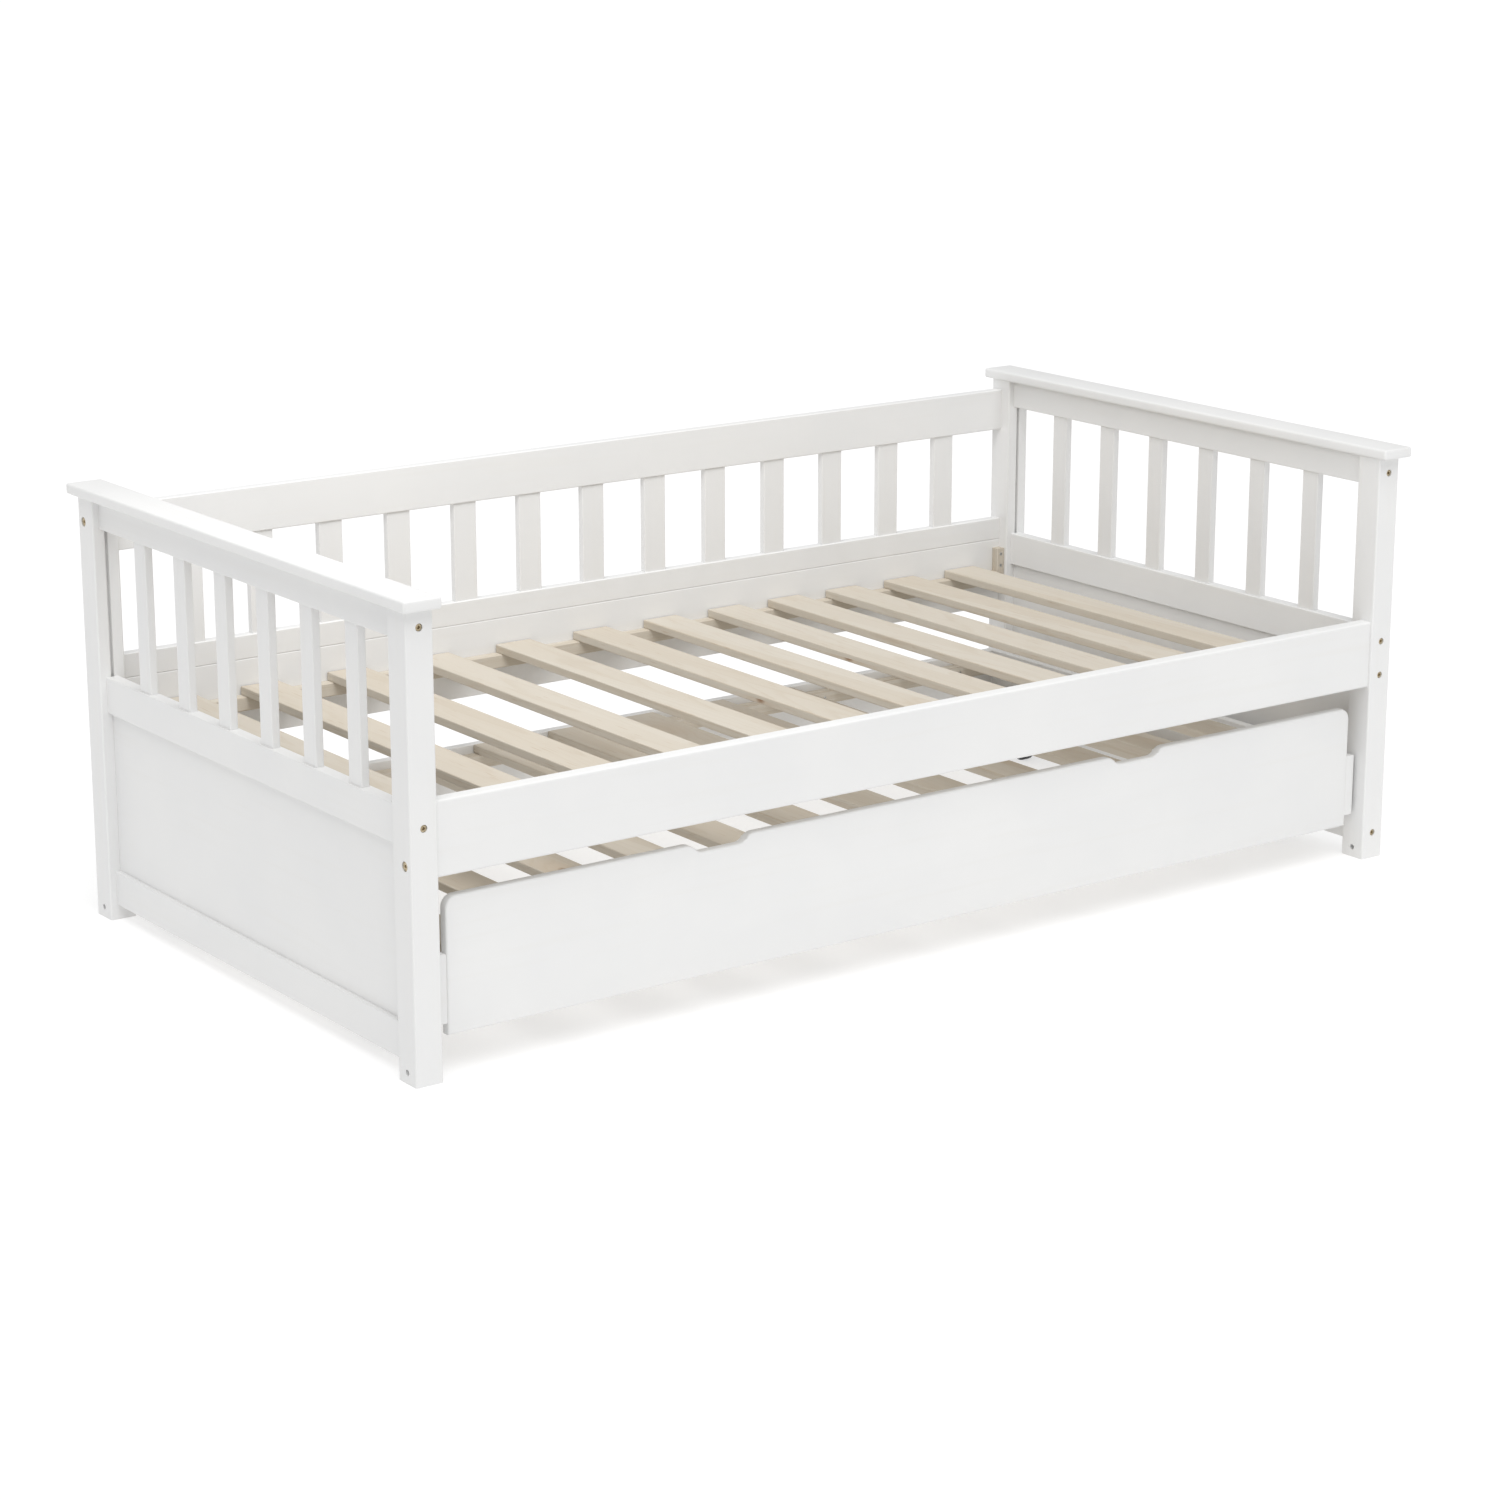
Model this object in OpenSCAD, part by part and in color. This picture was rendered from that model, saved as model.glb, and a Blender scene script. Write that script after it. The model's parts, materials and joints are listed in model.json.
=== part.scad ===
// Wooden daybed with a pull-out trundle. Millimetres, floor at z = 0, +Z up.
// +X runs along the bed and the trundle pulls out towards -Y.
// The origin is on the floor, under the middle of the bed.

/* [Overall size] */
// Length over the outer faces of the posts
bed_length = 2010; // [1960:10:2080]
// Depth over the outer faces of the posts
bed_depth = 1048; // [1020:4:1080]
// Height to the top of the end caps
bed_height = 744; // [730:2:780]

/* [Posts and caps] */
// Post thickness along the bed
post_x = 47; // [44:1:50]
// Post width across the bed
post_y = 51; // [48:1:56]
// Radius of the long edges of the posts
post_edge_r = 3; // [1:0.5:5]
// Cap thickness
cap_t = 18; // [16:1:22]
// How far the cap stands out past the outer post face
cap_outer_lip = 12; // [8:1:16]
// How far the cap stands in past the inner post face
cap_inner_lip = 6; // [4:1:8]
// How far the cap stands out at the front and the back
cap_end_lip = 18; // [12:1:22]

/* [End panels] */
// Thickness of the three end rails
end_rail_t = 23; // [20:1:26]
// Height of the top end rail
top_rail_h = 52; // [48:1:58]
// Height of the top edge of the middle end rail above the floor
mid_rail_top = 423; // [418:1:428]
// Height of the middle end rail
mid_rail_h = 62; // [56:1:66]
// Gap between the floor and the bottom end rail
bottom_rail_lift = 26; // [20:1:32]
// Height of the bottom end rail
bottom_rail_h = 59; // [54:1:64]
// Thickness of the plywood end panel
panel_t = 6; // [5:0.5:8]
// Number of upright slats in each end
end_slat_count = 6; // [5:1:7]
// Width of an end slat
end_slat_w = 38; // [32:1:44]
// Distance between the middles of the end slats
end_slat_pitch = 136; // [128:1:138]
// Thickness of every upright slat
upright_slat_t = 14; // [12:1:16]

/* [Back panel] */
// Thickness of the back rails
back_rail_t = 20; // [18:1:22]
// How far the back rails sit in front of the rear post faces
back_inset = 8; // [6:1:10]
// Gap between the cap and the top back rail
back_top_gap = 19; // [15:1:24]
// Height of the top back rail
back_top_h = 78; // [70:1:84]
// Height of the lower back rail
back_low_h = 42; // [36:1:48]
// Height of the bed rail at the back
back_bed_rail_h = 135; // [125:1:145]
// How far the back bed rail's top lies below the front bed rail's top
back_seam_drop = 25; // [20:1:28]
// Number of upright slats in the back
back_slat_count = 13; // [11:1:13]
// Width of a back slat
back_slat_w = 46; // [40:1:50]
// Distance between the middles of the back slats
back_slat_pitch = 136; // [128:1:138]

/* [Bed rails and bed slats] */
// Thickness of the front bed rail
front_rail_t = 26; // [22:1:28]
// How far the front bed rail sits behind the front post faces
front_inset = 5; // [4:1:8]
// Height of the front bed rail
front_rail_h = 118; // [110:1:124]
// Gap between the floor and the front bed rail
front_rail_lift = 317; // [312:1:322]
// Height of the top of the bed slats
slat_top = 364; // [358:1:370]
// Number of bed slats
slat_count = 12; // [10:1:13]
// Width of a bed slat
slat_w = 74; // [64:1:80]
// Thickness of a bed slat
slat_t = 15; // [13:1:18]
// How far the middle bed slats lie off an even spacing
slat_drift = 66; // [0:2:70]
// Width of the support strips under the slats
ledger_w = 22; // [18:1:24]
// Height of the support strips under the bed slats
ledger_h = 24; // [20:1:32]
// Side of a corner block
block_w = 17; // [15:1:20]
// Length of a corner block
block_h = 70; // [66:1:74]
// How far a corner block stands above the slats
block_proud = 30; // [27:1:32]

/* [Trundle] */
// How far the trundle front sits behind the front post faces
trundle_inset = 23; // [18:1:28]
// Side gap between the trundle and the posts
trundle_side_gap = 6; // [4:1:8]
// Thickness of the trundle boards
board_t = 18; // [16:1:20]
// Gap between the floor and the trundle front
front_lift = 62; // [55:1:68]
// Height of the trundle front
front_h = 217; // [200:1:220]
// Corner radius of the trundle front
front_corner_r = 20; // [12:1:26]
// Depth of the trundle from front to back
trundle_depth = 1000; // [970:5:1010]
// Gap between the floor and the trundle side boards
board_lift = 81; // [78:1:84]
// Height of the trundle side and back boards
board_h = 109; // [104:1:112]
// Distance from the middle of the trundle front to the middle of a hand hold
hold_x = 432; // [380:2:480]
// Width of a hand hold at the top edge
hold_w = 132; // [120:2:150]
// Depth of a hand hold
hold_depth = 14; // [12:1:18]
// Number of trundle slats
trundle_slat_count = 12; // [10:1:13]

/* [Casters] */
// Wheel diameter
wheel_d = 56; // [50:1:60]
// Wheel width
wheel_w = 20; // [16:1:22]
// Axle diameter
axle_d = 6; // [5:0.5:8]
// Thickness of the caster steel
steel_t = 2.5; // [2:0.25:3]
// Distance from the trundle front face to the front axles
caster_front = 207; // [195:1:240]
// Distance from the trundle back face to the rear axles
caster_back = 150; // [120:1:180]

/* [Fasteners] */
// Bolt shank diameter
bolt_d = 6; // [5:0.5:8]
// Diameter of the bolt heads on the front and back faces of the posts
bolt_head_d = 11; // [10:0.5:12]
// Diameter of the bolt heads on the outer faces of the posts
rail_bolt_head_d = 15; // [12:0.5:16]
// Dowel diameter
dowel_d = 8; // [6:0.5:9]
// Wood screw shank diameter
screw_d = 3.5; // [3:0.5:4]

/* [Hidden] */
$fn = 48;

// Clearances
fit_gap = 0.1;
running_gap = 0.05;
overrun = 1;
panel_play = 1;
slat_end_gap = 2;
ledger_end_gap = 1;

// Joinery
tenon = 8;
groove_d = 8;
bar_r = 2;
slat_edge_r = 1.5;
cap_r = 4;
rail_r = 4;
foot_bore_d = 10;
foot_bore_z = 18;

// Bolts, cross nuts and dowels
head_recess = 1.5;
head_h = 4;
socket_af = 5;
socket_depth = 3;
bolt_reach = 34;
short_screw_len = 9;
nut_d = 10;
nut_h = 16;
nut_depth = 22;
dowel_half = 15;
dowel_edge = 14;

// Wood screws: lengths, numbers, and distances from the ends of what they hold
screw_point_d = 1;
ledger_screw_len = 35;
ledger_screw_count = 6;
ledger_screw_inset = 60;
block_screw_len = 30;
block_screw_edge = 11;
board_screw_len = 50;
board_screw_edge = 25;
trundle_screw_len = 32;
trundle_screw_inset = 100;
runner_screw_len = 40;
runner_screw_count = 4;
runner_screw_inset = 120;
caster_screw_len = 16;

// Trundle
board_setback = 2;
first_slat_gap = 48;
trundle_first_gap = 20;
trundle_ledger_h = 25;
runner_w = 60;
runner_t = 20;
arc_steps = 8;

// Casters
plate_x = 44;
plate_y = 60;
plate_hole_edge = 6;
fork_gap = 1.5;
fork_len = 22;
fork_foot = 5;
wheel_hub_d = 18;
wheel_hub_proud = 1;
tyre_t = 6;
tread_r = 3;
dish_d = 3;
axle_head_d = 10;
axle_head = 2;

// Half sizes and the centre lines of the posts
half_l = bed_length / 2;
half_d = bed_depth / 2;
post_cx = half_l - post_x / 2;
post_cy = half_d - post_y / 2;
inner_l = bed_length - 2 * post_x;
inner_d = bed_depth - 2 * post_y;

// Heights
cap_z = bed_height - cap_t;
top_rail_z = cap_z - top_rail_h;
mid_rail_z = mid_rail_top - mid_rail_h;
bottom_rail_top = bottom_rail_lift + bottom_rail_h;
back_top_z = cap_z - back_top_gap - back_top_h;
ledger_top = slat_top - slat_t;
ledger_z = ledger_top - ledger_h;
block_top = slat_top + block_proud;
block_z = block_top - block_h;

// The lower back rail and the bed rail meet where the mattress edge starts
front_rail_top = front_rail_lift + front_rail_h;
back_seam_z = front_rail_top - back_seam_drop;
back_bed_rail_z = back_seam_z - back_bed_rail_h;
back_low_top = back_seam_z + back_low_h;

// Depth positions
back_plane = half_d - back_inset - back_rail_t;
back_cy = back_plane + back_rail_t / 2;
front_cy = -half_d + front_inset + front_rail_t / 2;
front_rail_back = -half_d + front_inset + front_rail_t;

// Heights of the bolts through the end panels, and of the rails that they hold
end_bolt_z = [mid_rail_z + 37, top_rail_z + 25];
end_rail_z = [mid_rail_z, top_rail_z];

// Heights of the bolts into the long rails, and of two short screws in the front right post
front_bolt_z = front_rail_lift + 23;
back_bolt_z = back_top_z + back_top_h - 24;
short_screw_z = [bottom_rail_lift + 21, front_rail_lift + 20];

// Heights of the screws in the corner blocks, and of the dowels
block_screw_z = [ledger_top + block_screw_edge, block_top - block_screw_edge];
block_dowel_z = (block_screw_z[0] + block_screw_z[1]) / 2;
end_dowel_z = [
    bottom_rail_lift + dowel_edge, bottom_rail_top - dowel_edge, mid_rail_z + dowel_edge, cap_z - dowel_edge
];
front_dowel_z = [block_dowel_z, front_rail_top - dowel_edge];
back_dowel_z = [
    back_bed_rail_z + dowel_edge, block_dowel_z, back_seam_z + back_low_h / 2, back_top_z + dowel_edge
];

// Trundle positions
trundle_y = -half_d + trundle_inset;
trundle_back_y = trundle_y + trundle_depth;
board_outer = half_l - post_x - trundle_side_gap;
board_inner = board_outer - board_t;
board_top = board_lift + board_h;
front_back_y = trundle_y + board_t;
back_board_y = trundle_back_y - board_t;
trundle_ledger_z = board_top - slat_t - trundle_ledger_h;
runner_cx = board_inner - runner_w / 2;
wheel_z = wheel_d / 2;
fork_top = board_lift;
fork_w = wheel_w + 2 * wheel_hub_proud + 2 * fork_gap;
caster_y = [trundle_y + caster_front, trundle_back_y - caster_back];

// ---- helpers -------------------------------------------------------------

// Rectangle about the origin with rounded corners
module round_rect(w, h, r) {
    square([w - 2 * r, h], center = true);
    square([w, h - 2 * r], center = true);
    for (x = [-1, 1], y = [-1, 1])
        translate([x * (w / 2 - r), y * (h / 2 - r)]) circle(r);
}

// Rounded bar standing on z = 0
module upright(w, d, h, r) {
    linear_extrude(h) round_rect(w, d, r);
}

// Rounded bar along X, centred on the origin
module bar_x(length, d, h, r) {
    rotate([90, 0, 90]) translate([0, 0, -length / 2]) linear_extrude(length) round_rect(d, h, r);
}

// Rounded bar along Y, centred on the origin
module bar_y(length, w, h, r) {
    rotate([90, 0, 0]) translate([0, 0, -length / 2]) linear_extrude(length) round_rect(w, h, r);
}

// Plain block given by its two opposite corners
module block(from, to) {
    translate(from) cube(to - from);
}

// Shapes drawn for the left side, repeated on the side that is asked for
module on_side(side) {
    if (side < 0) children();
    else mirror([1, 0, 0]) children();
}

module on_both_sides() {
    children();
    mirror([1, 0, 0]) children();
}

// Cylinders along an axis, starting at the origin
module rod_x(d, length) {
    rotate([0, 90, 0]) cylinder(d = d, h = length);
}

module rod_y(d, length) {
    rotate([-90, 0, 0]) cylinder(d = d, h = length);
}

// Socket head bolt along +Y with the top of its head at the origin
module bolt(length, head_d) {
    difference() {
        union() {
            rod_y(head_d, head_h);
            rod_y(bolt_d, length);
        }
        translate([0, -overrun, 0]) rotate([-90, 0, 0])
            cylinder(d = socket_af / cos(30), h = overrun + socket_depth, $fn = 6);
    }
}

// The hole that a bolt passes through, open towards -Y
module bolt_hole(length, head_d) {
    translate([0, -head_recess - overrun, 0]) rod_y(head_d + 1, head_recess + overrun + head_h + fit_gap);
    rod_y(bolt_d + 2 * fit_gap, length + fit_gap);
}

// Countersunk wood screw pointing along -Z with the top of its head at the origin
module screw(length, gap) {
    head = 2 * screw_d + 2 * gap;
    shank = screw_d + 2 * gap;
    tip = screw_d;
    translate([0, 0, -screw_d / 2]) cylinder(d1 = shank, d2 = head, h = screw_d / 2 + gap / 2);
    translate([0, 0, tip - length]) cylinder(d = shank, h = length - tip - screw_d / 2);
    translate([0, 0, -length - gap]) cylinder(d1 = screw_point_d, d2 = shank, h = tip + gap);
}

// ---- fastener patterns, drawn as parts (gap = 0) or as holes (gap > 0) ----

// Positions of the end bolts on the left side, as children of the front and back posts
module at_end_bolts(heights) {
    for (z = heights) {
        translate([-post_cx, -half_d + head_recess, z]) children();
        translate([-post_cx, half_d - head_recess, z]) rotate([0, 0, 180]) children();
    }
}

module end_bolt_holes() {
    at_end_bolts(end_bolt_z) bolt_hole(post_y + bolt_reach, bolt_head_d);
}

// Two short screws in the front face of the front right post
module at_short_screws() {
    for (z = short_screw_z) translate([post_cx, -half_d + head_recess, z]) children();
}

// Bolts along X into the front bed rail and the top back rail
module at_rail_bolts() {
    for (p = [[front_cy, front_bolt_z], [back_cy, back_bolt_z]])
        translate([-half_l + head_recess, p[0], p[1]]) rotate([0, 0, -90]) children();
}

module rail_bolt_holes() {
    at_rail_bolts() bolt_hole(post_x + bolt_reach, rail_bolt_head_d);
}

// Cross nuts for the end bolts, hidden in the undersides of the end rails
module end_nuts(gap) {
    for (i = [0:len(end_bolt_z) - 1], y = [-1, 1])
        translate([-post_cx, y * (inner_d / 2 - nut_depth), end_bolt_z[i]])
            nut(gap, end_bolt_z[i] - end_rail_z[i]);
}

// Cross nuts for the bolts into the long rails
module rail_nuts(gap) {
    nut_x = -inner_l / 2 + nut_depth;
    translate([nut_x, front_cy, front_bolt_z]) nut(gap, front_bolt_z - front_rail_lift);
    translate([nut_x, back_cy, back_bolt_z]) nut(gap, back_bolt_z - back_top_z);
}

// Upright cross nut about its bolt's axis, or the blind hole that it goes in from below
module nut(gap, hole_depth) {
    if (gap > 0)
        translate([0, 0, -hole_depth - overrun])
            cylinder(d = nut_d + 2 * gap, h = hole_depth + overrun + nut_h / 2 + gap);
    else
        translate([0, 0, -nut_h / 2]) cylinder(d = nut_d, h = nut_h);
}

// Dowels between the left posts and the rails that meet them, and up into the left cap
module left_dowels(gap) {
    d = dowel_d + 2 * gap;
    reach = 2 * dowel_half + 2 * gap;
    for (z = end_dowel_z, y = [-1, 1])
        translate([-post_cx, y * inner_d / 2 - reach / 2, z]) rod_y(d, reach);
    for (z = front_dowel_z) translate([-inner_l / 2 - reach / 2, front_cy, z]) rod_x(d, reach);
    for (z = back_dowel_z) translate([-inner_l / 2 - reach / 2, back_cy, z]) rod_x(d, reach);
    for (y = [-1, 1]) translate([-post_cx, y * post_cy, cap_z - dowel_half])
        cylinder(d = d, h = dowel_half + cap_t / 2 + gap);
}

// Screws from the support strips into the bed rails
module ledger_screw_set(gap) {
    step = (inner_l - 2 * block_w - 2 * ledger_screw_inset) / (ledger_screw_count - 1);
    for (i = [0:ledger_screw_count - 1]) {
        x = (i - (ledger_screw_count - 1) / 2) * step;
        z = ledger_z + ledger_h / 2;
        translate([x, front_rail_back + ledger_w, z]) rotate([-90, 0, 0]) screw(ledger_screw_len, gap);
        translate([x, back_plane - ledger_w, z]) rotate([90, 0, 0]) screw(ledger_screw_len, gap);
    }
}

// Two screws from each corner block into the long rail behind it
module block_screw_set(gap) {
    on_both_sides() for (z = block_screw_z) {
        x = -inner_l / 2 + block_w / 2;
        translate([x, front_rail_back + block_w, z]) rotate([-90, 0, 0]) screw(block_screw_len, gap);
        translate([x, back_plane - block_w, z]) rotate([90, 0, 0]) screw(block_screw_len, gap);
    }
}

// Screws through the trundle side boards into its front and back
module board_screw_set(gap) {
    heights = [board_lift + board_screw_edge, board_top - board_screw_edge];
    for (z = heights, y = [trundle_y + board_t / 2, back_board_y + board_t / 2])
        translate([-board_outer, y, z]) rotate([0, -90, 0]) screw(board_screw_len, gap);
}

// Screws from the trundle's support strips into its front and back
module trundle_ledger_screw_set(gap) {
    step = 2 * (board_inner - trundle_screw_inset) / (ledger_screw_count - 1);
    for (i = [0:ledger_screw_count - 1]) {
        x = (i - (ledger_screw_count - 1) / 2) * step;
        z = trundle_ledger_z + trundle_ledger_h / 2;
        translate([x, front_back_y + ledger_w, z]) rotate([-90, 0, 0]) screw(trundle_screw_len, gap);
        translate([x, back_board_y - ledger_w, z]) rotate([90, 0, 0]) screw(trundle_screw_len, gap);
    }
}

// Screws through the side board into the caster runner
module runner_screw_set(gap) {
    step = (trundle_depth - 2 * runner_screw_inset) / (runner_screw_count - 1);
    for (i = [0:runner_screw_count - 1])
        translate([-board_outer, trundle_y + runner_screw_inset + i * step, board_lift + runner_t / 2])
            rotate([0, -90, 0]) screw(runner_screw_len, gap);
}

// Four screws up through each left caster plate
module caster_screw_set(gap) {
    half_x = plate_x / 2 - plate_hole_edge;
    half_y = plate_y / 2 - plate_hole_edge;
    for (cy = caster_y, x = [-half_x, half_x], y = [-half_y, half_y])
        translate([-runner_cx + x, cy + y, fork_top - steel_t])
            rotate([180, 0, 0]) screw(caster_screw_len, gap);
}

// ---- bed frame -----------------------------------------------------------

// Post of the left side; end_y is -1 at the front and 1 at the back
module left_post(end_y) {
    difference() {
        translate([-post_cx, end_y * post_cy, 0]) upright(post_x, post_y, cap_z, post_edge_r);
        // groove for the plywood panel, cut in the face that looks along the end
        translate([-post_cx, end_y * (inner_d / 2 + groove_d / 2), bottom_rail_lift + cap_z / 2])
            cube([panel_t + 2 * fit_gap, groove_d + fit_gap, cap_z], center = true);
        end_bolt_holes();
        rail_bolt_holes();
        left_dowels(fit_gap);
        // bore across the foot
        translate([-half_l - overrun, end_y * post_cy, foot_bore_z])
            rod_x(foot_bore_d, post_x + 2 * overrun);
    }
}

module front_left_post() {
    color("whitesmoke") left_post(-1);
}

module front_right_post() {
    color("whitesmoke") difference() {
        mirror([1, 0, 0]) left_post(-1);
        at_short_screws() bolt_hole(short_screw_len, bolt_head_d);
    }
}

module back_left_post() {
    color("whitesmoke") left_post(1);
}

module back_right_post() {
    color("whitesmoke") mirror([1, 0, 0]) left_post(1);
}

// Flat board over the posts and the top rail, rounded on every edge
module cap(side) {
    w = post_x + cap_outer_lip + cap_inner_lip;
    length = bed_depth + 2 * cap_end_lip;
    cx = -post_cx - (cap_outer_lip - cap_inner_lip) / 2;
    color("whitesmoke") on_side(side) difference() {
        translate([cx, 0, cap_z + cap_t / 2]) intersection() {
            bar_y(length, w, cap_t, cap_r);
            bar_x(w, length, cap_t, cap_r);
        }
        left_dowels(fit_gap);
    }
}

// Places the upright slats of an end
module at_end_slats() {
    for (i = [0:end_slat_count - 1])
        translate([-post_cx, (i - (end_slat_count - 1) / 2) * end_slat_pitch, mid_rail_top - tenon])
            children();
}

module end_slat(gap) {
    h = top_rail_z - mid_rail_top + 2 * tenon;
    upright(upright_slat_t + 2 * gap, end_slat_w + 2 * gap, h, slat_edge_r);
}

module end_panel_sheet(gap) {
    side = inner_d + 2 * groove_d - panel_play + 2 * gap;
    h = mid_rail_z - bottom_rail_top + 2 * groove_d - panel_play + 2 * gap;
    translate([-post_cx, 0, (mid_rail_z + bottom_rail_top) / 2])
        cube([panel_t + 2 * gap, side, h], center = true);
}

module end_rail(z, h) {
    translate([-post_cx, 0, z + h / 2]) bar_y(inner_d, end_rail_t, h, bar_r);
}

module top_rail(side) {
    color("whitesmoke") on_side(side) difference() {
        end_rail(top_rail_z, top_rail_h);
        at_end_slats() end_slat(fit_gap);
        end_bolt_holes();
        end_nuts(fit_gap);
        left_dowels(fit_gap);
    }
}

module mid_rail(side) {
    color("whitesmoke") on_side(side) difference() {
        end_rail(mid_rail_z, mid_rail_h);
        at_end_slats() end_slat(fit_gap);
        end_panel_sheet(fit_gap);
        end_bolt_holes();
        end_nuts(fit_gap);
        left_dowels(fit_gap);
    }
}

module bottom_rail(side) {
    color("whitesmoke") on_side(side) difference() {
        end_rail(bottom_rail_lift, bottom_rail_h);
        end_panel_sheet(fit_gap);
        end_bolt_holes();
        end_nuts(fit_gap);
        left_dowels(fit_gap);
    }
}

module end_panel(side) {
    color("whitesmoke") on_side(side) end_panel_sheet(0);
}

module end_slats(side) {
    color("whitesmoke") on_side(side) at_end_slats() end_slat(0);
}

// Places the upright slats of the back
module at_back_slats() {
    for (i = [0:back_slat_count - 1])
        translate([(i - (back_slat_count - 1) / 2) * back_slat_pitch, back_cy, back_low_top - tenon])
            children();
}

module back_slat(gap) {
    h = back_top_z - back_low_top + 2 * tenon;
    upright(back_slat_w + 2 * gap, upright_slat_t + 2 * gap, h, slat_edge_r);
}

module back_rail(z, h) {
    translate([0, back_cy, z + h / 2]) bar_x(inner_l, back_rail_t, h, bar_r);
}

module back_top_rail() {
    color("whitesmoke") difference() {
        back_rail(back_top_z, back_top_h);
        at_back_slats() back_slat(fit_gap);
        on_both_sides() {
            rail_bolt_holes();
            rail_nuts(fit_gap);
            left_dowels(fit_gap);
        }
    }
}

module back_lower_rail() {
    color("whitesmoke") difference() {
        back_rail(back_seam_z, back_low_h);
        at_back_slats() back_slat(fit_gap);
        on_both_sides() left_dowels(fit_gap);
    }
}

module back_slats() {
    color("whitesmoke") at_back_slats() back_slat(0);
}

module back_bed_rail() {
    color("whitesmoke") difference() {
        back_rail(back_bed_rail_z, back_bed_rail_h);
        on_both_sides() left_dowels(fit_gap);
        ledger_screw_set(fit_gap);
        block_screw_set(fit_gap);
    }
}

module front_bed_rail() {
    color("whitesmoke") difference() {
        translate([0, front_cy, front_rail_lift + front_rail_h / 2])
            bar_x(inner_l, front_rail_t, front_rail_h, rail_r);
        on_both_sides() {
            rail_bolt_holes();
            rail_nuts(fit_gap);
            left_dowels(fit_gap);
        }
        ledger_screw_set(fit_gap);
        block_screw_set(fit_gap);
    }
}

// Support strip against a bed rail, between the corner blocks
module ledger(y) {
    color("burlywood") difference() {
        translate([0, y, ledger_z + ledger_h / 2])
            bar_x(inner_l - 2 * block_w - 2 * ledger_end_gap, ledger_w, ledger_h, bar_r);
        ledger_screw_set(fit_gap);
    }
}

// Left edge of bed slat i: even spacing plus a drift that is largest in the middle
function bed_slat_x(i) =
    -inner_l / 2 + block_w + first_slat_gap
    + i * (inner_l - 2 * block_w - 2 * first_slat_gap - slat_w) / (slat_count - 1)
    + slat_drift * pow(sin(180 * i / (slat_count - 1)), 2);

module bed_slats() {
    length = back_plane - front_rail_back - 2 * slat_end_gap;
    color("burlywood") for (i = [0:slat_count - 1])
        translate([bed_slat_x(i) + slat_w / 2, (front_rail_back + back_plane) / 2, slat_top - slat_t / 2])
            bar_y(length, slat_w, slat_t, bar_r);
}

module corner_blocks() {
    x = -inner_l / 2 + block_w / 2;
    color("burlywood") difference() {
        on_both_sides() for (y = [front_rail_back + block_w / 2, back_plane - block_w / 2])
            translate([x, y, block_z]) upright(block_w, block_w, block_h, slat_edge_r);
        block_screw_set(fit_gap);
    }
}

module end_bolts() {
    color("peru") {
        on_both_sides() at_end_bolts(end_bolt_z) bolt(post_y + bolt_reach - head_recess, bolt_head_d);
        at_short_screws() bolt(short_screw_len, bolt_head_d);
    }
}

module rail_bolts() {
    color("peru") on_both_sides() at_rail_bolts()
        bolt(post_x + bolt_reach - head_recess, rail_bolt_head_d);
}

module barrel_nuts() {
    color("silver") on_both_sides() {
        difference() {
            end_nuts(0);
            at_end_bolts(end_bolt_z) rod_y(bolt_d + 2 * fit_gap, post_y + 2 * bolt_reach);
        }
        difference() {
            rail_nuts(0);
            at_rail_bolts() rod_y(bolt_d + 2 * fit_gap, post_x + 2 * bolt_reach);
        }
    }
}

module dowels() {
    color("tan") on_both_sides() left_dowels(0);
}

module ledger_screws() {
    color("silver") ledger_screw_set(0);
}

module block_screws() {
    color("silver") block_screw_set(0);
}

// ---- trundle -------------------------------------------------------------

// Rectangle with its two upper corners rounded, standing on y = 0
module front_outline() {
    w = 2 * board_inner;
    r = front_corner_r;
    translate([-w / 2, 0]) square([w, front_h - r]);
    translate([-w / 2 + r, 0]) square([w - 2 * r, front_h]);
    for (x = [-1, 1]) translate([x * (w / 2 - r), front_h - r]) circle(r);
}

// Points along an arc about a centre, from one angle to another
function arc(centre, r, from, to) =
    [for (i = [0:arc_steps]) let (a = from + (to - from) * i / arc_steps) centre + r * [cos(a), sin(a)]];

function mirrored(points) = [for (i = [len(points) - 1:-1:0]) [-points[i][0], points[i][1]]];

// Hand hold: a flat bottom, then two arcs on each side that meet on a slope
module hold_outline() {
    top = hold_w / 2;
    bottom = hold_w / 4;
    run = top - bottom;
    lean = 2 * atan(hold_depth / run);
    r = run / (2 * sin(lean));
    lower = arc([bottom, r], r, -90, lean - 90);
    upper = arc([top, hold_depth - r], r, 90 + lean, 90);
    side = concat([for (i = [0:arc_steps - 1]) lower[i]], upper, [[top, hold_depth + overrun]]);
    polygon(concat(side, mirrored(side)));
}

module trundle_front() {
    color("whitesmoke") difference() {
        translate([0, front_back_y, front_lift]) rotate([90, 0, 0]) linear_extrude(board_t) difference() {
            front_outline();
            for (x = [-1, 1]) translate([x * hold_x, front_h - hold_depth]) hold_outline();
        }
        on_both_sides() board_screw_set(fit_gap);
        trundle_ledger_screw_set(fit_gap);
    }
}

module trundle_side_board(side) {
    color("whitesmoke") on_side(side) difference() {
        translate([
            -board_outer + board_t / 2,
            trundle_y + (trundle_depth + board_setback) / 2,
            board_lift + board_h / 2
        ]) bar_y(trundle_depth - board_setback, board_t, board_h, bar_r);
        board_screw_set(fit_gap);
        runner_screw_set(fit_gap);
    }
}

module trundle_back_board() {
    color("whitesmoke") difference() {
        translate([0, back_board_y + board_t / 2, board_lift + board_h / 2])
            bar_x(2 * board_inner, board_t, board_h, bar_r);
        on_both_sides() board_screw_set(fit_gap);
        trundle_ledger_screw_set(fit_gap);
    }
}

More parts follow.
